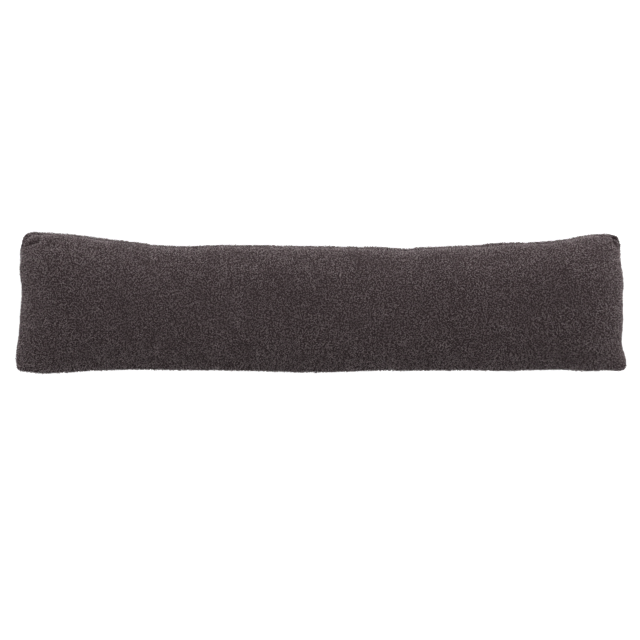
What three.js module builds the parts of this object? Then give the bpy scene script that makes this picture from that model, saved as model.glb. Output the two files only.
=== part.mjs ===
// A draught excluder: one long stuffed cushion of curly pile cloth, lying on its back.
// A front and a back panel are sewn together round all four sides, turned through and filled.
// Millimetres, +Z up. X runs along the cushion, Y across it, and the origin is under its middle,
// on the surface that it lies on.
import * as THREE from 'three';
import { mergeGeometries, mergeVertices } from 'three/addons/utils/BufferGeometryUtils.js';

// Driving dimensions
const LENGTH = 880; // over the two lower corners, the widest place
const WIDTH = 203; // over the corners of one end
const SEAM_HEIGHT = 38; // of the seam above the surface, along the sides
const CROWN = 47; // of the front panel above its seam, pile left out
const FRONT_ROLL = 2.5; // how far the front panel swells out past the sewn line
const SHOULDER = 1.8; // how far in from the sewn line a panel stands out furthest
const PILE = 5; // depth of the curly pile, which the solid takes in
const CORNER_DROOP = 8; // how far the seam sinks at the corners, where there is little filling
const END_ROLL = 92; // how far in from an end the filling reaches its full height
const FLOOR_ROLL = 47; // how far in from the seam the back panel meets the surface
const FLOOR_END_ROLL = 72;

// How round the filled panels are: 2 and 0.5 give an ellipse, 2 and 1 a parabola
const FULLNESS = { bend: 2.2, rise: 0.54 };

// The four sides, by place along them. `drawn` is how far the filling draws the outline in from the
// full length or width, and `roll` how far the back panel swells out past the sewn line.
const UPPER_SIDE = [
  { along: -440, drawn: 2, roll: 8 },
  { along: -413, drawn: 0, roll: 6 },
  { along: -390, drawn: 1.8, roll: 3 },
  { along: -361, drawn: 4.3, roll: 3.5 },
  { along: -332, drawn: 7.9, roll: 4.5 },
  { along: -303, drawn: 11.5, roll: 4 },
  { along: -274, drawn: 15, roll: 3 },
  { along: -246, drawn: 18.3, roll: 4 },
  { along: -202, drawn: 20, roll: 4.5 },
  { along: -159, drawn: 18.9, roll: 3 },
  { along: -101, drawn: 18.7, roll: 4 },
  { along: -44, drawn: 19.7, roll: 3 },
  { along: 14, drawn: 20.2, roll: 3.5 },
  { along: 57, drawn: 21.4, roll: 3 },
  { along: 83, drawn: 20.8, roll: 4 },
  { along: 114, drawn: 22.8, roll: 4.5 },
  { along: 158, drawn: 21.6, roll: 3.5 },
  { along: 201, drawn: 20, roll: 3 },
  { along: 230, drawn: 18.5, roll: 4 },
  { along: 258, drawn: 16.2, roll: 4.5 },
  { along: 302, drawn: 14.4, roll: 3.5 },
  { along: 345, drawn: 12.7, roll: 4.5 },
  { along: 374, drawn: 8.9, roll: 3 },
  { along: 391, drawn: 5.6, roll: 3 },
  { along: 407, drawn: 2.9, roll: 4 },
  { along: 420, drawn: 4, roll: 6 },
  { along: 440, drawn: 6, roll: 7 },
];
const LOWER_SIDE = [
  { along: -440, drawn: 1.5, roll: 3 },
  { along: -407, drawn: 0, roll: 3 },
  { along: -375, drawn: 1.4, roll: 3 },
  { along: -339, drawn: 3.2, roll: 2.5 },
  { along: -303, drawn: 4.3, roll: 3 },
  { along: -260, drawn: 5.6, roll: 2.5 },
  { along: -231, drawn: 4.5, roll: 3 },
  { along: -174, drawn: 4.3, roll: 2.5 },
  { along: -101, drawn: 2.9, roll: 3 },
  { along: -15, drawn: 1.4, roll: 2.5 },
  { along: 57, drawn: 2.9, roll: 3 },
  { along: 143, drawn: 4.3, roll: 2.5 },
  { along: 215, drawn: 4.2, roll: 3 },
  { along: 273, drawn: 2.9, roll: 3 },
  { along: 316, drawn: 4.3, roll: 2.5 },
  { along: 345, drawn: 5.6, roll: 2.5 },
  { along: 374, drawn: 4.3, roll: 3 },
  { along: 405, drawn: 2.9, roll: 3 },
  { along: 420, drawn: 3.6, roll: 3 },
  { along: 440, drawn: 3, roll: 3 },
];
const LEFT_END = [
  { along: -101, drawn: 1, roll: 3 },
  { along: -86, drawn: 0.3, roll: 3 },
  { along: -68, drawn: 2, roll: 2.5 },
  { along: -57, drawn: 3.5, roll: 3 },
  { along: -45, drawn: 5, roll: 2.5 },
  { along: -33, drawn: 6.4, roll: 3 },
  { along: -14, drawn: 7.8, roll: 2.5 },
  { along: 9, drawn: 9.3, roll: 3 },
  { along: 27, drawn: 10.7, roll: 2.5 },
  { along: 38, drawn: 9.3, roll: 3 },
  { along: 50, drawn: 7, roll: 3.5 },
  { along: 61, drawn: 6.2, roll: 4.5 },
  { along: 78, drawn: 7.5, roll: 6.5 },
  { along: 101, drawn: 8.5, roll: 8 },
];
const RIGHT_END = [
  { along: -101, drawn: 1.5, roll: 3 },
  { along: -86, drawn: -0.5, roll: 3 },
  { along: -76, drawn: 2.5, roll: 2.5 },
  { along: -57, drawn: 4.9, roll: 3 },
  { along: -45, drawn: 3.6, roll: 2.5 },
  { along: -29, drawn: 4.8, roll: 3 },
  { along: -12, drawn: 3.5, roll: 2.5 },
  { along: 12, drawn: 4.9, roll: 3 },
  { along: 26, drawn: 3.6, roll: 2.5 },
  { along: 39, drawn: 2.9, roll: 3 },
  { along: 51, drawn: 4.6, roll: 3 },
  { along: 63, drawn: 6.3, roll: 3.5 },
  { along: 78, drawn: 7.6, roll: 5 },
  { along: 101, drawn: 8, roll: 7 },
];

// How much each corner of the outline is rounded off
const CORNERS = [
  { x: -1, y: 1, round: 17 },
  { x: 1, y: 1, round: 14 },
  { x: -1, y: -1, round: 10 },
  { x: 1, y: -1, round: 10 },
];

// Creases that run in from the sewn line, where the longer cloth of a panel gathers up.
// `from` is where one starts, `to` where it fades out, and `side` says which panel it is in.
const CREASES = [
  { from: [-402, 90], to: [-366, 56], depth: 3.2, width: 10, side: 'front' },
  { from: [-380, 92], to: [-350, 66], depth: 2.6, width: 9, side: 'front' },
  { from: [-424, 72], to: [-396, 44], depth: 3, width: 10, side: 'front' },
  { from: [-318, 84], to: [-300, 54], depth: 2, width: 14, side: 'front' },
  { from: [-246, 80], to: [-236, 48], depth: 2.4, width: 14, side: 'front' },
  { from: [-176, 80], to: [-166, 52], depth: 1.8, width: 15, side: 'front' },
  { from: [-116, 80], to: [-120, 56], depth: 1.5, width: 14, side: 'front' },
  { from: [-60, 80], to: [-56, 50], depth: 2, width: 15, side: 'front' },
  { from: [26, 80], to: [24, 50], depth: 2.2, width: 15, side: 'front' },
  { from: [86, 78], to: [90, 54], depth: 1.6, width: 14, side: 'front' },
  { from: [126, 78], to: [116, 46], depth: 2.6, width: 15, side: 'front' },
  { from: [188, 80], to: [192, 56], depth: 1.5, width: 14, side: 'front' },
  { from: [238, 82], to: [226, 52], depth: 2.2, width: 15, side: 'front' },
  { from: [308, 86], to: [292, 54], depth: 2.2, width: 14, side: 'front' },
  { from: [384, 92], to: [356, 60], depth: 3, width: 10, side: 'front' },
  { from: [422, 74], to: [394, 46], depth: 3, width: 10, side: 'front' },
  { from: [432, 22], to: [402, 14], depth: 2.2, width: 11, side: 'front' },
  { from: [432, -56], to: [398, -46], depth: 2.8, width: 11, side: 'front' },
  { from: [-428, 14], to: [-394, 10], depth: 2.6, width: 11, side: 'front' },
  { from: [-434, -44], to: [-400, -36], depth: 2, width: 11, side: 'front' },
  { from: [408, -92], to: [380, -62], depth: 2.8, width: 10, side: 'front' },
  { from: [-412, -92], to: [-382, -62], depth: 2.6, width: 10, side: 'front' },
  { from: [-330, -97], to: [-322, -70], depth: 1.6, width: 14, side: 'front' },
  { from: [-150, -97], to: [-144, -72], depth: 1.4, width: 15, side: 'front' },
  { from: [90, -97], to: [84, -72], depth: 1.4, width: 15, side: 'front' },
  { from: [300, -97], to: [292, -70], depth: 1.6, width: 14, side: 'front' },
  { from: [-404, 90], to: [-372, 60], depth: 3, width: 11, side: 'back' },
  { from: [404, 88], to: [372, 58], depth: 3, width: 11, side: 'back' },
  { from: [-410, -92], to: [-378, -62], depth: 2.6, width: 11, side: 'back' },
  { from: [410, -92], to: [378, -62], depth: 2.6, width: 11, side: 'back' },
  { from: [-246, 80], to: [-238, 60], depth: 2, width: 15, side: 'back' },
  { from: [-60, 80], to: [-56, 60], depth: 2, width: 15, side: 'back' },
  { from: [126, 78], to: [120, 58], depth: 2.2, width: 15, side: 'back' },
  { from: [300, 86], to: [292, 64], depth: 2, width: 15, side: 'back' },
];

// Soft rises and hollows in the filling under the front panel
const LUMPS = [
  { at: [-352, 18], rise: 1.6, reach: 46 },
  { at: [-262, 30], rise: 1.8, reach: 60 },
  { at: [-176, -6], rise: -2, reach: 48 },
  { at: [-88, 22], rise: 1.2, reach: 52 },
  { at: [-30, -34], rise: -1.2, reach: 44 },
  { at: [52, 14], rise: 1.4, reach: 58 },
  { at: [128, -12], rise: -1.6, reach: 46 },
  { at: [204, 24], rise: 2, reach: 56 },
  { at: [296, -16], rise: -1.4, reach: 50 },
  { at: [366, 20], rise: 1.8, reach: 44 },
];

// The grid of each panel: steps over the rolled rim at either end, and steps between
const ALONG = { roll: 11, flat: 90 };
const ACROSS = { roll: 9, flat: 6 };

const clamp01 = (value) => THREE.MathUtils.clamp(value, 0, 1);

// A smooth line through one column of a side's table
function column(side, key) {
  const places = side.map((row) => row.along);
  const values = side.map((row) => row[key]);
  const line = new THREE.CubicInterpolant(places, values, 1);
  return (along) => line.evaluate(along)[0];
}

const side = (rows) => ({ drawn: column(rows, 'drawn'), roll: column(rows, 'roll') });
const upper = side(UPPER_SIDE);
const lower = side(LOWER_SIDE);
const left = side(LEFT_END);
const right = side(RIGHT_END);

// Shares from 0 to 1 across a panel, closer together over its two rolled rims
function gridShares(span, rollDepth, steps) {
  const distances = [];
  for (let i = 0; i < steps.roll; i += 1) {
    distances.push(rollDepth * (1 - Math.cos((Math.PI / 2) * (i / steps.roll))));
  }
  for (let i = 0; i <= steps.flat; i += 1) {
    distances.push(rollDepth + (span - 2 * rollDepth) * (i / steps.flat));
  }
  for (let i = steps.roll - 1; i >= 0; i -= 1) distances.push(span - distances[i]);
  return distances.map((distance) => distance / span);
}

// How far a side is cut back near a corner, to round it off
function rounding(x, y, gap) {
  const { round } = CORNERS.find((corner) => corner.x === x && corner.y === y);
  const share = clamp01(1 - gap / (0.71 * round));
  return 0.29 * round * share * share;
}

// The sewn line and the outline at a place (u, v) of the grid, both as distances from the middle
function reachAt(u, v) {
  const along = (u - 0.5) * LENGTH;
  const across = (v - 0.5) * WIDTH;
  const gapX = { left: u * LENGTH, right: (1 - u) * LENGTH };
  const gapY = { lower: v * WIDTH, upper: (1 - v) * WIDTH };
  const top = WIDTH / 2 - upper.drawn(along)
    - rounding(-1, 1, gapX.left) - rounding(1, 1, gapX.right);
  const bottom = WIDTH / 2 - lower.drawn(along)
    - rounding(-1, -1, gapX.left) - rounding(1, -1, gapX.right);
  const start = LENGTH / 2 - left.drawn(across)
    - rounding(-1, -1, gapY.lower) - rounding(-1, 1, gapY.upper);
  const end = LENGTH / 2 - right.drawn(across)
    - rounding(1, -1, gapY.lower) - rounding(1, 1, gapY.upper);
  const rolls = {
    top: upper.roll(along),
    bottom: lower.roll(along),
    start: left.roll(across),
    end: right.roll(across),
  };
  return { top, bottom, start, end, rolls };
}

// A panel rises from its seam as a rounded shoulder, to 1 at the depth of the roll and beyond it
function shoulder(distance, roll) {
  const share = clamp01(distance / roll);
  return (1 - (1 - share) ** FULLNESS.bend) ** FULLNESS.rise;
}

// A panel swells out past its sewn line by its roll close beside it, and less further in.
// `distance` is from one side's line, and `nearest` from the nearest line of all four.
function swell(distance, nearest, roll) {
  const beside = 1 - Math.exp(-nearest / 0.7);
  const fading = 1 - THREE.MathUtils.smoothstep(distance, SHOULDER, 36);
  return (roll + SHOULDER) * beside * fading;
}

// Depth of the creases of one panel at a place
function creaseDepth(x, y, panelSide) {
  let depth = 0;
  for (const crease of CREASES.filter((row) => row.side === panelSide)) {
    const start = new THREE.Vector2(...crease.from);
    const run = new THREE.Vector2(...crease.to).sub(start);
    const offset = new THREE.Vector2(x, y).sub(start);
    const share = offset.dot(run) / run.lengthSq();
    const beside = Math.abs(offset.cross(run)) / run.length();
    const fade = THREE.MathUtils.smoothstep(share, -0.3, 0.1)
      * (1 - THREE.MathUtils.smoothstep(share, 0.1, 1));
    depth += crease.depth * fade * Math.exp(-((beside / crease.width) ** 2) * 2);
  }
  return depth;
}

function lumpRise(x, y) {
  return LUMPS.reduce((rise, lump) => {
    const far = Math.hypot(x - lump.at[0], y - lump.at[1]) / lump.reach;
    return rise + lump.rise * Math.exp(-far * far);
  }, 0);
}

// The sewn line isn't level: it waves a little, and sinks towards the corners
function seamHeight(u, v, x) {
  const toEnd = Math.abs(2 * u - 1) ** 14;
  const toSide = Math.abs(2 * v - 1) ** 3;
  return SEAM_HEIGHT - CORNER_DROOP * toEnd * toSide
    + 1.4 * Math.sin(x / 71) + 0.8 * Math.sin(x / 29 + 1);
}

// One panel's point at the place (u, v) of its grid
function panelPoint(u, v, panelSide) {
  const { top, bottom, start, end, rolls } = reachAt(u, v);
  const sewn = {
    left: -(start - rolls.start),
    right: end - rolls.end,
    lower: -(bottom - rolls.bottom),
    upper: top - rolls.top,
  };
  const toLeft = u * (sewn.right - sewn.left);
  const toRight = (1 - u) * (sewn.right - sewn.left);
  const toLower = v * (sewn.upper - sewn.lower);
  const toUpper = (1 - v) * (sewn.upper - sewn.lower);
  const front = panelSide === 'front';
  const roll = (back) => (front ? FRONT_ROLL : back);
  const toEnd = Math.min(toLeft, toRight);
  const toSide = Math.min(toLower, toUpper);
  const nearest = Math.min(toEnd, toSide);
  let x = sewn.left + toLeft
    + swell(toRight, nearest, roll(rolls.end)) - swell(toLeft, nearest, roll(rolls.start));
  let y = sewn.lower + toLower
    + swell(toUpper, nearest, roll(rolls.top)) - swell(toLower, nearest, roll(rolls.bottom));
  const height = seamHeight(u, v, x);

  // A crease sinks into the face of a panel, and inwards where the panel is steep beside its seam
  const crease = creaseDepth(x, y, panelSide) * shoulder(nearest, 10);
  const steep = (distance) => 1 - THREE.MathUtils.smoothstep(distance, 6, 36);
  x -= Math.sign(x) * crease * steep(toEnd);
  y -= Math.sign(y) * crease * steep(toSide);

  const halfWidth = (sewn.upper - sewn.lower) / 2;
  const pile = PILE * shoulder(toEnd, PILE) * shoulder(toSide, PILE);
  if (front) {
    const filled = shoulder(toEnd, END_ROLL) * shoulder(toSide, halfWidth);
    const rise = (CROWN + lumpRise(x, y)) * filled - crease * (1 - steep(nearest) / 2);
    return new THREE.Vector3(x, y, height + pile + rise);
  }
  const pressed = shoulder(toEnd, FLOOR_END_ROLL) * shoulder(toSide, FLOOR_ROLL);
  return new THREE.Vector3(x, y, (height - pile + crease / 2) * (1 - pressed));
}

// A panel as a grid of cells. Their diagonals run towards the corners of the cushion, so that
// each corner is shared between two triangles of a panel.
function panel(panelSide) {
  const columns = gridShares(LENGTH, END_ROLL, ALONG);
  const rows = gridShares(WIDTH, FLOOR_ROLL, ACROSS);
  const points = rows.flatMap((v) => columns.map((u) => panelPoint(u, v, panelSide)));
  const faces = [];
  for (let row = 0; row < rows.length - 1; row += 1) {
    for (let place = 0; place < columns.length - 1; place += 1) {
      const a = row * columns.length + place;
      const b = a + 1;
      const c = b + columns.length;
      const d = a + columns.length;
      const alike = (2 * row < rows.length - 1) === (2 * place < columns.length - 1);
      const cell = alike ? [a, b, c, a, c, d] : [a, b, d, b, c, d];
      faces.push(...(panelSide === 'front' ? cell : cell.reverse()));
    }
  }
  const geometry = new THREE.BufferGeometry().setFromPoints(points);
  geometry.setIndex(faces);
  return geometry;
}

// The two panels sewn round the edge make one closed, filled solid, centred over the origin
function filledCover() {
  const geometry = mergeVertices(mergeGeometries([panel('front'), panel('back')]), 1e-3);
  geometry.computeBoundingBox();
  const { min, max } = geometry.boundingBox;
  geometry.translate(-(min.x + max.x) / 2, -(min.y + max.y) / 2, -min.z);
  geometry.computeVertexNormals();
  const pileCloth = new THREE.MeshStandardMaterial({
    name: 'charcoal curly pile',
    color: 0x453c3d,
    roughness: 0.95,
    metalness: 0,
  });
  const mesh = new THREE.Mesh(geometry, pileCloth);
  mesh.name = 'filled_cover';
  return mesh;
}

const draughtExcluder = new THREE.Group();
draughtExcluder.name = 'draught excluder';
draughtExcluder.add(filledCover());

export default draughtExcluder;
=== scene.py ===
import math

import bmesh
import bpy
import numpy as np
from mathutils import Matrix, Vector, kdtree


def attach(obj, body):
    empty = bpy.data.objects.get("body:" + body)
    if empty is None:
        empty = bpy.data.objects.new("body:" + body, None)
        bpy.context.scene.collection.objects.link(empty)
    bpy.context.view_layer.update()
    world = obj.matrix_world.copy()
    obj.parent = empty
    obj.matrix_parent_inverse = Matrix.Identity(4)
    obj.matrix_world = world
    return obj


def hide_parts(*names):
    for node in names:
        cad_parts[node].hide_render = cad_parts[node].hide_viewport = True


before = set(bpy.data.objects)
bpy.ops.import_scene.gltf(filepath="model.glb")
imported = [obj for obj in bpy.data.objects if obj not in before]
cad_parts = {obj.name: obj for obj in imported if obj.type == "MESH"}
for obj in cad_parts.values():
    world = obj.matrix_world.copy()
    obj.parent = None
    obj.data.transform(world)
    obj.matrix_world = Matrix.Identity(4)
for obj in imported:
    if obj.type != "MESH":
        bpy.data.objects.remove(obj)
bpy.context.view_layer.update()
scene = bpy.context.scene

# The stuffed cover
# Two panels of knitted ground cloth, sewn face to face all round, turned out and filled with loose fibre.
# It is the CAD solid drawn in under its pile, then blown up a little against its seam, as by the filling.
PILE_DEPTH = 0.0016
SEAM_HOLD = 0.006
SEAM_FOOT = 0.024
SEAM_TOP = 0.043
HOLLOW_ANGLE = math.radians(-20)
PLACES_PER_EDGE = 5
FLOOR_HOLD = 0.001
SWELL_STEPS = 20
SWELL_LIMIT = 0.0016
SEAM_PULL = 0.0024
SEAM_REACH = 0.0035
# Nearer the middle than this the seam is pulled in straight across, and beyond it in from the end as well
END_TURN = 0.34


def positions(mesh):
    """The places of a mesh's points, as rows of x, y and z."""
    flat = np.empty(len(mesh.vertices) * 3)
    mesh.vertices.foreach_get("co", flat)
    return flat.reshape(-1, 3)


def put_positions(mesh, places):
    """Moves each point of a mesh to its row of the places."""
    mesh.vertices.foreach_set("co", places.ravel())
    mesh.update()


def directions(mesh):
    """The way out of the mesh at each of its points."""
    return np.array([point.normal for point in mesh.vertices])


def settle(piece):
    """Gives a piece the mesh that its modifiers make now, and takes the modifiers off."""
    shaped = piece.evaluated_get(bpy.context.evaluated_depsgraph_get())
    mesh = bpy.data.meshes.new_from_object(shaped)
    piece.modifiers.clear()
    piece.data = mesh
    mesh.name = piece.name


solid = bmesh.new()
solid.from_mesh(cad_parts["filled_cover"].data)
bmesh.ops.remove_doubles(solid, verts=solid.verts, dist=1e-6)

# The seam is the one hollow line that runs round the solid
hollows = [edge for edge in solid.edges if edge.calc_face_angle_signed() < HOLLOW_ANGLE]
seam_line = [
    edge.verts[0].co.lerp(edge.verts[1].co, step / PLACES_PER_EDGE)
    for edge in hollows
    for step in range(PLACES_PER_EDGE)
    if SEAM_FOOT < edge.verts[0].co.z < SEAM_TOP
]
seam = kdtree.KDTree(len(seam_line))
for index, place in enumerate(seam_line):
    seam.insert(place, index)
seam.balance()

bmesh.ops.join_triangles(
    solid, faces=solid.faces, angle_face_threshold=math.pi, angle_shape_threshold=math.pi
)
cover_mesh = bpy.data.meshes.new("stuffed_cover")
solid.to_mesh(cover_mesh)
solid.free()
cover = bpy.data.objects.new("stuffed_cover", cover_mesh)
scene.collection.objects.link(cover)

# Drawn in by the pile's depth, all but the seam itself and the lower side, where the pile stands proud
places = positions(cover.data)
outwards = directions(cover.data)
from_seam = np.array([seam.find(place)[2] for place in places])
draw_in = PILE_DEPTH * np.clip(from_seam / SEAM_HOLD, 0, 1) * np.clip(1 + outwards[:, 1], 0, 1)
put_positions(cover.data, places - outwards * draw_in[:, None])

# The filling presses the panels out, while the seam and the face on the floor hold still.
# Of its push only the way out is kept, and little of that, because the solid has the filled form already.
at_rest = positions(cover.data)
outwards = directions(cover.data)
held = cover.vertex_groups.new(name="held")
for index, place in enumerate(at_rest):
    if from_seam[index] < SEAM_HOLD or place[2] < PILE_DEPTH + FLOOR_HOLD:
        held.add([index], 1, "REPLACE")

filling = cover.modifiers.new("filling", "CLOTH")
filling.settings.quality = 8
filling.settings.mass = 0.2
filling.settings.tension_stiffness = 12
filling.settings.compression_stiffness = 12
filling.settings.shear_stiffness = 4
filling.settings.bending_stiffness = 0.2
filling.settings.shrink_min = -0.012
filling.settings.use_pressure = True
filling.settings.uniform_pressure_force = 4
filling.settings.effector_weights.gravity = 0
filling.settings.vertex_group_mass = "held"
filling.point_cache.frame_start = 1
filling.point_cache.frame_end = SWELL_STEPS
for step in range(1, SWELL_STEPS + 1):
    scene.frame_set(step)
settle(cover)
swell = np.sum((positions(cover.data) - at_rest) * outwards, axis=1)
put_positions(cover.data, at_rest + outwards * np.clip(swell, 0, SWELL_LIMIT)[:, None])

finer = cover.modifiers.new("finer cells", "SUBSURF")
finer.levels = 1
finer.render_levels = 1
settle(cover)

# Finer cells still on the front of the two upper corners, for the creases there
CREASED_BEYOND = 0.37
CREASED_ABOVE = 0.06
corners = bmesh.new()
corners.from_mesh(cover.data)
creased = [
    edge
    for edge in corners.edges
    if all(
        abs(point.co.x) > CREASED_BEYOND and point.co.y > CREASED_ABOVE and point.co.z > SEAM_TOP
        for point in edge.verts
    )
]
bmesh.ops.subdivide_edges(corners, edges=creased, cuts=2, use_grid_fill=True)
corners.to_mesh(cover.data)
corners.free()

# The filling stands firmer in the corners, which push out past the line of the sides
EARS = [
    {"at": (-0.411, 0.100), "push": (0.0002, 0.0020), "reach": 0.015},
    {"at": (-0.432, 0.076), "push": (-0.0013, 0), "reach": 0.013},
    {"at": (0.412, 0.098), "push": (0.0016, 0.0026), "reach": 0.018},
    {"at": (0.432, 0.076), "push": (0.0016, 0), "reach": 0.016},
    {"at": (0.436, -0.094), "push": (0.0026, -0.0022), "reach": 0.018},
    {"at": (-0.400, -0.098), "push": (0, -0.0014), "reach": 0.045},
    {"at": (0.385, -0.098), "push": (0, -0.0012), "reach": 0.040},
]
places = positions(cover.data)
for ear in EARS:
    away = np.linalg.norm(places[:, :2] - np.array(ear["at"]), axis=1) / ear["reach"]
    places[:, :2] += np.exp(-(away**2))[:, None] * np.array(ear["push"])

# The stitches pull the two panels in along the seam
sewn_at = np.array([seam.find(place)[0] for place in places])
from_seam = np.linalg.norm(places - sewn_at, axis=1)
inwards = -sewn_at * np.array([1, 1, 0])
inwards[:, 0] = np.sign(inwards[:, 0]) * np.maximum(np.abs(inwards[:, 0]) - END_TURN, 0)
inwards /= np.linalg.norm(inwards, axis=1, keepdims=True)
pull = SEAM_PULL * np.exp(-((from_seam / SEAM_REACH) ** 2))
places += inwards * pull[:, None]
put_positions(cover.data, places)

# Short sharp creases where the panels are gathered at the upper corners, as seen from the front
CREASES = [
    {"from": (-0.429, 0.080), "to": (-0.404, 0.090), "depth": 0.0036, "width": 0.0030},
    {"from": (-0.404, 0.104), "to": (-0.403, 0.090), "depth": 0.0040, "width": 0.0026},
    {"from": (-0.389, 0.084), "to": (-0.385, 0.091), "depth": 0.0024, "width": 0.0016},
    {"from": (-0.380, 0.084), "to": (-0.380, 0.086), "depth": 0.0022, "width": 0.0016},
    {"from": (0.419, 0.093), "to": (0.422, 0.086), "depth": 0.0036, "width": 0.0026},
    {"from": (0.422, 0.086), "to": (0.427, 0.079), "depth": 0.0030, "width": 0.0026},
]
FRONT_FACING = 0.05
FAR_AWAY = 1.0
outwards = directions(cover.data)
in_front = outwards[:, 2] > FRONT_FACING
from_crease = np.full(len(places), FAR_AWAY)
for crease in CREASES:
    start = np.array(crease["from"])
    run = np.array(crease["to"]) - start
    offset = places[:, :2] - start
    share = np.clip(offset @ run / (run @ run), 0, 1)
    beside = np.where(in_front, np.linalg.norm(offset - share[:, None] * run, axis=1), FAR_AWAY)
    sink = crease["depth"] * np.exp(-((beside / crease["width"]) ** 2))
    places -= outwards * sink[:, None]
    from_crease = np.minimum(from_crease, beside)
put_positions(cover.data, places)
cover.data.shade_smooth()

# The pile stops at the seam and in the creases. Beside them its curls are darkened: painted shade for the
# shade that falls into the seam and the creases. Where the seam turns a corner the pile bunches up and all
# but hides it, and the painted shade along the seam fades out there.
SHADE_REACH = 0.0035
SEAM_SHADE = 0.65
CREASE_SHADE = 0.55
CORNER_AT = (0.425, 0.095)
CORNER_REACH = 0.035
BUNCHED_NARROWER = 3
CREASE_NARROWER = 1.6
to_corner = np.linalg.norm(np.abs(places[:, :2]) - CORNER_AT, axis=1)
bunched = np.exp(-((to_corner / CORNER_REACH) ** 2))
bare_line = np.minimum(from_seam * (1 + BUNCHED_NARROWER * bunched), from_crease * CREASE_NARROWER)
# Painted shade: how much darker the curls are along the seam and in the creases
seam_shade = SEAM_SHADE * (1 - bunched) * np.exp(-((from_seam / SHADE_REACH) ** 2))
crease_shade = CREASE_SHADE * np.exp(-((from_crease / SHADE_REACH) ** 2))
standing_pile = 1 - seam_shade - crease_shade
for name, values in (("from_bare_line", bare_line), ("standing_pile", standing_pile)):
    cover.data.attributes.new(name, "FLOAT", "POINT").data.foreach_set("value", values.astype(np.float32))


def linear(hex_colour):
    """The linear red, green, blue and alpha of an sRGB colour written as six hex digits."""
    shares = [int(hex_colour[place:place + 2], 16) / 255 for place in (0, 2, 4)]
    return [s / 12.92 if s <= 0.04045 else ((s + 0.055) / 1.055) ** 2.4 for s in shares] + [1]


def add_node(tree, kind, settings=None, inputs=None):
    """Adds a node to a tree. Each of its inputs is a plain value or the socket that the value comes from."""
    node = tree.nodes.new(kind)
    for name, value in (settings or {}).items():
        setattr(node, name, value)
    for name, value in (inputs or {}).items():
        if isinstance(value, bpy.types.NodeSocket):
            tree.links.new(value, node.inputs[name])
        else:
            node.inputs[name].default_value = value
    return node


# Knitted polyester ground: dull, and it only shows between the curls. Its dark colour is partly its own
# and partly painted shade, for the shade down in the gaps between the curls.
# Its stitches are about 2.4 mm apart: the real gauge is half that, and too fine to show.
STITCHES_PER_METRE = 420
ground_cloth = bpy.data.materials.new("knitted polyester ground")
ground_cloth.use_nodes = True
tree = ground_cloth.node_tree
shader = tree.nodes["Principled BSDF"]
shader.inputs["Roughness"].default_value = 0.95
shader.inputs["Specular IOR Level"].default_value = 0.15
coordinates = add_node(tree, "ShaderNodeTexCoord")
loops = add_node(
    tree,
    "ShaderNodeTexNoise",
    inputs={"Vector": coordinates.outputs["Object"], "Scale": STITCHES_PER_METRE, "Detail": 3},
)
shades = add_node(tree, "ShaderNodeMix", {"data_type": "RGBA"}, {"Factor": loops.outputs["Fac"]})
# Dark ground colours: partly the cloth's own, partly painted shade for the gaps between the curls
shades.inputs["A"].default_value = linear("241b1d")
shades.inputs["B"].default_value = linear("3e3435")
tree.links.new(shades.outputs["Result"], shader.inputs["Base Color"])
relief = add_node(
    tree, "ShaderNodeBump", inputs={"Height": loops.outputs["Fac"], "Strength": 0.5, "Distance": 0.0006}
)
tree.links.new(relief.outputs["Normal"], shader.inputs["Normal"])
cover.data.materials.clear()
cover.data.materials.append(ground_cloth)
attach(cover, "root")
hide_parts("filled_cover")

# The curly pile
# Loops of crimped polyester yarn, brushed up into short curls that lie every way and hide the ground.
# Each curl is a short length of yarn wound into part of a turn, rooted in the ground cloth. It is drawn
# thicker than it really is, as single fibres are too fine to show, with three sides to keep the mesh light.
YARN = 0.0007
CURLS = [
    {"coil": 0.0009, "turn": 150, "rise": 0.0012},
    {"coil": 0.0007, "turn": 190, "rise": 0.0015},
    {"coil": 0.0013, "turn": 110, "rise": 0.0009},
    {"coil": 0.0011, "turn": 130, "rise": 0.0018},
]
CURL_STEPS = 3
CURL_SIDES = 3
BARE_WIDTH = 0.0021
# The curls stand closer where they show than on the face that the cushion lies on
SHOWING = {"spacing": 0.00195, "size": 1.0}
LAIN_ON = {"spacing": 0.0046, "size": 1.5}
LAIN_BELOW = 0.01
LAIN_FACING = -0.92
PATCHES = [
    {"name": "pile_1", "planted": SHOWING, "from": -0.45, "to": -0.27},
    {"name": "pile_2", "planted": SHOWING, "from": -0.27, "to": -0.09},
    {"name": "pile_3", "planted": SHOWING, "from": -0.09, "to": 0.09},
    {"name": "pile_4", "planted": SHOWING, "from": 0.09, "to": 0.27},
    {"name": "pile_5", "planted": SHOWING, "from": 0.27, "to": 0.45},
    {"name": "pile_under", "planted": LAIN_ON, "from": -0.45, "to": 0.45},
]

# Crimped polyester pile, matt, with a pale bloom where it is seen edge on. Each curl is painted darker
# towards its root: painted shade for the shade down between the curls.
# The crimps of its fibres are about half a millimetre long.
ROOT_SHADE_FADE = 0.4
CRIMPS_PER_METRE = 1800
pile = bpy.data.materials.new("crimped polyester pile")
pile.use_nodes = True
tree = pile.node_tree
shader = tree.nodes["Principled BSDF"]
shader.inputs["Roughness"].default_value = 0.9
shader.inputs["Specular IOR Level"].default_value = 0.2
shader.inputs["Sheen Weight"].default_value = 0.8
shader.inputs["Sheen Roughness"].default_value = 0.25
shader.inputs["Sheen Tint"].default_value = linear("fff1f1")
coordinates = add_node(tree, "ShaderNodeTexCoord")
tone = add_node(tree, "ShaderNodeAttribute", {"attribute_name": "curl_tone"})
height = add_node(tree, "ShaderNodeAttribute", {"attribute_name": "curl_height"})
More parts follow.
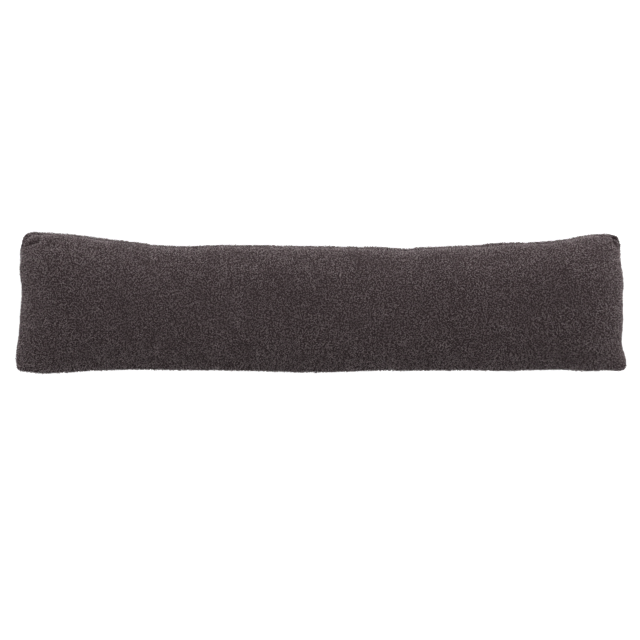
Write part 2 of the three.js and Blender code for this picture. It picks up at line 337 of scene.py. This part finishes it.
# Painted shade between the curls: the colour darkens towards each curl's root
upper = add_node(tree, "ShaderNodeMath", {"operation": "POWER"}, {0: height.outputs["Fac"], 1: ROOT_SHADE_FADE})
paleness = add_node(
    tree, "ShaderNodeMath", {"operation": "MULTIPLY"}, {0: tone.outputs["Fac"], 1: upper.outputs["Value"]}
)
shades = add_node(tree, "ShaderNodeMix", {"data_type": "RGBA"}, {"Factor": paleness.outputs["Value"]})
shades.inputs["A"].default_value = linear("1f1416")
shades.inputs["B"].default_value = linear("6e6264")
tree.links.new(shades.outputs["Result"], shader.inputs["Base Color"])
fibres = add_node(
    tree,
    "ShaderNodeTexNoise",
    inputs={"Vector": coordinates.outputs["Object"], "Scale": CRIMPS_PER_METRE, "Detail": 2},
)
relief = add_node(
    tree, "ShaderNodeBump", inputs={"Height": fibres.outputs["Fac"], "Strength": 0.4, "Distance": 0.0003}
)
tree.links.new(relief.outputs["Normal"], shader.inputs["Normal"])

curl_kinds = bpy.data.collections.new("curl kinds")
for number, curl in enumerate(CURLS):
    yarn = bmesh.new()
    bmesh.ops.create_circle(yarn, cap_ends=True, segments=CURL_SIDES, radius=YARN)
    across = Vector((0, 0, 1)).rotation_difference(Vector((0, 1, 0))).to_matrix()
    bmesh.ops.rotate(yarn, verts=yarn.verts, matrix=across)
    bmesh.ops.translate(yarn, verts=yarn.verts, vec=(curl["coil"], 0, 0))
    bmesh.ops.spin(
        yarn,
        geom=yarn.faces[:],
        axis=(0, 0, 1),
        dvec=(0, 0, curl["rise"] / CURL_STEPS),
        angle=math.radians(curl["turn"]),
        steps=CURL_STEPS,
    )
    bmesh.ops.recalc_face_normals(yarn, faces=yarn.faces)
    mesh = bpy.data.meshes.new(f"curl_{number}")
    yarn.to_mesh(mesh)
    yarn.free()
    mesh.materials.append(pile)
    mesh.shade_smooth()
    heights = positions(mesh)[:, 2]
    heights = ((heights - heights.min()) / np.ptp(heights)).astype(np.float32)
    mesh.attributes.new("curl_height", "FLOAT", "POINT").data.foreach_set("value", heights)
    curl_kinds.objects.link(bpy.data.objects.new(f"curl_{number}", mesh))

# Far more roots are tried than the spacing lets stand
ROOTS_TRIED = 1e6
planting = bpy.data.node_groups.new("plant curls", "GeometryNodeTree")
planting.interface.new_socket("Geometry", in_out="INPUT", socket_type="NodeSocketGeometry")
spacing = planting.interface.new_socket("Spacing", in_out="INPUT", socket_type="NodeSocketFloat")
size = planting.interface.new_socket("Size", in_out="INPUT", socket_type="NodeSocketFloat")
planting.interface.new_socket("Geometry", in_out="OUTPUT", socket_type="NodeSocketGeometry")
given = add_node(planting, "NodeGroupInput")
roots = add_node(
    planting,
    "GeometryNodeDistributePointsOnFaces",
    {"distribute_method": "POISSON"},
    {
        "Mesh": given.outputs["Geometry"],
        "Distance Min": given.outputs["Spacing"],
        "Density Max": ROOTS_TRIED,
        "Seed": 11,
    },
)
from_line = add_node(
    planting, "GeometryNodeInputNamedAttribute", {"data_type": "FLOAT"}, {"Name": "from_bare_line"}
)
on_line = add_node(
    planting,
    "FunctionNodeCompare",
    {"data_type": "FLOAT", "operation": "LESS_THAN"},
    {"A": from_line.outputs["Attribute"], "B": BARE_WIDTH},
)
kept = add_node(
    planting,
    "GeometryNodeDeleteGeometry",
    {"domain": "POINT"},
    {"Geometry": roots.outputs["Points"], "Selection": on_line.outputs["Result"]},
)
# The pile is brushed one way here and another there, over patches about four centimetres wide.
# Each curl also strays a little from its neighbours, and is turned any way round.
BRUSHED_PER_METRE = 24
BRUSHED_TILT = 1.2
STRAY_TILT = 0.5
brushing = add_node(planting, "ShaderNodeTexNoise", inputs={"Scale": BRUSHED_PER_METRE, "Detail": 1})
brushed = add_node(
    planting,
    "ShaderNodeVectorMath",
    {"operation": "MULTIPLY_ADD"},
    {
        0: brushing.outputs["Color"],
        1: (2 * BRUSHED_TILT, 2 * BRUSHED_TILT, 0),
        2: (-BRUSHED_TILT, -BRUSHED_TILT, 0),
    },
)
straying = add_node(
    planting,
    "FunctionNodeRandomValue",
    {"data_type": "FLOAT_VECTOR"},
    {"Min": (-STRAY_TILT, -STRAY_TILT, 0), "Max": (STRAY_TILT, STRAY_TILT, 0), "Seed": 3},
)
lean = add_node(
    planting,
    "ShaderNodeVectorMath",
    {"operation": "ADD"},
    {0: brushed.outputs["Vector"], 1: straying.outputs["Value"]},
)
leaning = add_node(
    planting,
    "FunctionNodeRotateRotation",
    {"rotation_space": "LOCAL"},
    {"Rotation": roots.outputs["Rotation"], "Rotate By": lean.outputs["Vector"]},
)
facing = add_node(
    planting,
    "FunctionNodeRandomValue",
    {"data_type": "FLOAT_VECTOR"},
    {"Min": (0, 0, 0), "Max": (0, 0, math.tau), "Seed": 4},
)
turned = add_node(
    planting,
    "FunctionNodeRotateRotation",
    {"rotation_space": "LOCAL"},
    {"Rotation": leaning.outputs["Rotation"], "Rotate By": facing.outputs["Value"]},
)
# The curls stand in low clumps about a centimetre wide, and no two neighbours are quite alike
CLUMPS_PER_METRE = 100
CLUMP_GROWTH = 0.8
LEAST_SIZE = 0.42
MOST_SIZE = 0.68
clumps = add_node(planting, "ShaderNodeTexNoise", inputs={"Scale": CLUMPS_PER_METRE, "Detail": 1})
unlike = add_node(
    planting,
    "FunctionNodeRandomValue",
    {"data_type": "FLOAT"},
    {2: LEAST_SIZE, 3: MOST_SIZE, "Seed": 5},
)
standing = add_node(
    planting,
    "ShaderNodeMath",
    {"operation": "MULTIPLY_ADD"},
    {0: clumps.outputs["Fac"], 1: CLUMP_GROWTH, 2: unlike.outputs[1]},
)
sizes = add_node(
    planting,
    "ShaderNodeMath",
    {"operation": "MULTIPLY"},
    {0: standing.outputs["Value"], 1: given.outputs["Size"]},
)
kinds = add_node(
    planting,
    "GeometryNodeCollectionInfo",
    inputs={"Collection": curl_kinds, "Separate Children": True, "Reset Children": True},
)
planted = add_node(
    planting,
    "GeometryNodeInstanceOnPoints",
    inputs={
        "Points": kept.outputs["Geometry"],
        "Instance": kinds.outputs["Instances"],
        "Pick Instance": True,
        "Rotation": turned.outputs["Rotation"],
        "Scale": sizes.outputs["Value"],
    },
)
# No two curls have quite one tone, and beside the seam and the creases they are darkened as painted shade.
# The pile is also paler here and there, over patches three or four centimetres wide.
DARKEST_TONE = 0.2
PALEST_TONE = 0.6
PATCHES_PER_METRE = 28
PATCH_PALENESS = 1.2
painted_shade_near_lines = add_node(
    planting, "GeometryNodeInputNamedAttribute", {"data_type": "FLOAT"}, {"Name": "standing_pile"}
)
tones = add_node(
    planting,
    "FunctionNodeRandomValue",
    {"data_type": "FLOAT"},
    {2: DARKEST_TONE, 3: PALEST_TONE, "Seed": 8},
)
patchy = add_node(
    planting, "ShaderNodeTexNoise", inputs={"Scale": PATCHES_PER_METRE, "Detail": 3, "Roughness": 0.7}
)
mottled = add_node(
    planting,
    "ShaderNodeMath",
    {"operation": "MULTIPLY_ADD"},
    {0: patchy.outputs["Fac"], 1: PATCH_PALENESS, 2: tones.outputs[1]},
)
# Painted shade beside the seam and the creases, multiplied into each curl's own random tone
darkened = add_node(
    planting,
    "ShaderNodeMath",
    {"operation": "MULTIPLY"},
    {0: mottled.outputs["Value"], 1: painted_shade_near_lines.outputs["Attribute"]},
)
toned = add_node(
    planting,
    "GeometryNodeStoreNamedAttribute",
    {"data_type": "FLOAT", "domain": "INSTANCE"},
    {"Geometry": planted.outputs["Instances"], "Name": "curl_tone", "Value": darkened.outputs["Value"]},
)
grown = add_node(planting, "GeometryNodeRealizeInstances", inputs={"Geometry": toned.outputs["Geometry"]})
add_node(planting, "NodeGroupOutput", inputs={"Geometry": grown.outputs["Geometry"]})

for patch in PATCHES:
    ground = bmesh.new()
    ground.from_mesh(cover.data)
    others = []
    for face in ground.faces:
        middle = face.calc_center_median()
        lain_on = middle.z < LAIN_BELOW and face.normal.z < LAIN_FACING
        if lain_on != (patch["planted"] is LAIN_ON) or not patch["from"] <= middle.x < patch["to"]:
            others.append(face)
    bmesh.ops.delete(ground, geom=others, context="FACES")
    mesh = bpy.data.meshes.new(patch["name"])
    ground.to_mesh(mesh)
    ground.free()
    piece = bpy.data.objects.new(patch["name"], mesh)
    scene.collection.objects.link(piece)
    plant = piece.modifiers.new("curls", "NODES")
    plant.node_group = planting
    plant[spacing.identifier] = patch["planted"]["spacing"]
    plant[size.identifier] = patch["planted"]["size"]
    settle(piece)
    # The weight of the cushion packs the lowest curls down on to the floor
    places = positions(piece.data)
    low = places[:, 2] < PILE_DEPTH
    places[low, 2] = PILE_DEPTH * np.exp((places[low, 2] - PILE_DEPTH) / PILE_DEPTH)
    put_positions(piece.data, places)
    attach(piece, "root")

# The stage, which isn't part of the object: a plain white floor.
# It glows a little, to be as white as studio paper, and no diffuse light from it reaches the pile.
FLOOR_REACH = 30
floor_mesh = bpy.data.meshes.new("floor")
slab = bmesh.new()
bmesh.ops.create_grid(slab, x_segments=1, y_segments=1, size=FLOOR_REACH)
slab.to_mesh(floor_mesh)
slab.free()
floor = bpy.data.objects.new("floor", floor_mesh)
scene.collection.objects.link(floor)
paper = bpy.data.materials.new("white paper")
paper.use_nodes = True
shader = paper.node_tree.nodes["Principled BSDF"]
shader.inputs["Base Color"].default_value = linear("f4f4f4")
shader.inputs["Roughness"].default_value = 0.8
shader.inputs["Emission Color"].default_value = (1, 1, 1, 1)
shader.inputs["Emission Strength"].default_value = 0.65
floor_mesh.materials.append(paper)
floor.visible_diffuse = False

# Soft light from all round: a sky that is white along the horizon and grey above it, four boxes, and
# three panels that lie on the floor beside the cushion and shine up. The sky below the floor is black.
world = bpy.data.worlds.new("white studio")
scene.world = world
world.use_nodes = True
tree = world.node_tree
towards_sky = add_node(tree, "ShaderNodeTexCoord")
height = add_node(tree, "ShaderNodeSeparateXYZ", inputs={"Vector": towards_sky.outputs["Generated"]})
backdrop = add_node(tree, "ShaderNodeValToRGB", inputs={"Fac": height.outputs["Z"]})
backdrop.color_ramp.elements[0].position = 0.05
backdrop.color_ramp.elements[0].color = (1, 1, 1, 1)
backdrop.color_ramp.elements[1].position = 0.15
backdrop.color_ramp.elements[1].color = (0.28, 0.28, 0.28, 1)
above_floor = add_node(
    tree, "ShaderNodeMath", {"operation": "GREATER_THAN"}, {0: height.outputs["Z"], 1: -0.02}
)
tree.links.new(backdrop.outputs["Color"], tree.nodes["Background"].inputs["Color"])
tree.links.new(above_floor.outputs["Value"], tree.nodes["Background"].inputs["Strength"])

LIGHTS = [
    {"name": "upper_box", "at": (0.3, 1.8, 1.1), "size": (2.4, 1.2), "watts": 38},
    {"name": "lower_box", "at": (0, -0.4, 2.0), "size": (2.4, 1.2), "watts": 16},
    {"name": "left_box", "at": (-2.0, 0.2, 1.2), "size": (1.2, 1.2), "watts": 7},
    {"name": "right_box", "at": (2.0, 0.3, 0.35), "size": (1.6, 0.6), "watts": 12},
    {"name": "right_panel", "at": (0.85, 0, 0.003), "size": (0.6, 0.8), "watts": 13, "flat": True},
    {"name": "left_panel", "at": (-0.85, 0, 0.003), "size": (0.6, 0.8), "watts": 11, "flat": True},
    {"name": "upper_panel", "at": (0, 0.45, 0.003), "size": (1.2, 0.6), "watts": 12, "flat": True},
]
for row in LIGHTS:
    light = bpy.data.lights.new(row["name"], "AREA")
    light.shape = "RECTANGLE"
    light.size, light.size_y = row["size"]
    light.energy = row["watts"]
    box = bpy.data.objects.new(row["name"], light)
    scene.collection.objects.link(box)
    box.location = row["at"]
    box.visible_camera = False
    if row.get("flat"):
        box.rotation_euler = (math.pi, 0, 0)
    else:
        box.rotation_euler = Vector(row["at"]).to_track_quat("Z", "Y").to_euler()

# The camera looks down on the front from beyond the upper side, tilted by a few degrees
LENS = 200
SENSOR = 36
TILT = math.radians(8)
DISTANCE = 5.11
AIM = Vector((-0.0007, -0.0252, 0.04))
camera = bpy.data.objects.new("camera", bpy.data.cameras.new("camera"))
scene.collection.objects.link(camera)
camera.data.lens = LENS
camera.data.sensor_width = SENSOR
camera.location = AIM + DISTANCE * Vector((0, math.sin(TILT), math.cos(TILT)))
camera.rotation_euler = (-TILT, 0, 0)
scene.camera = camera
scene.view_settings.view_transform = "Standard"
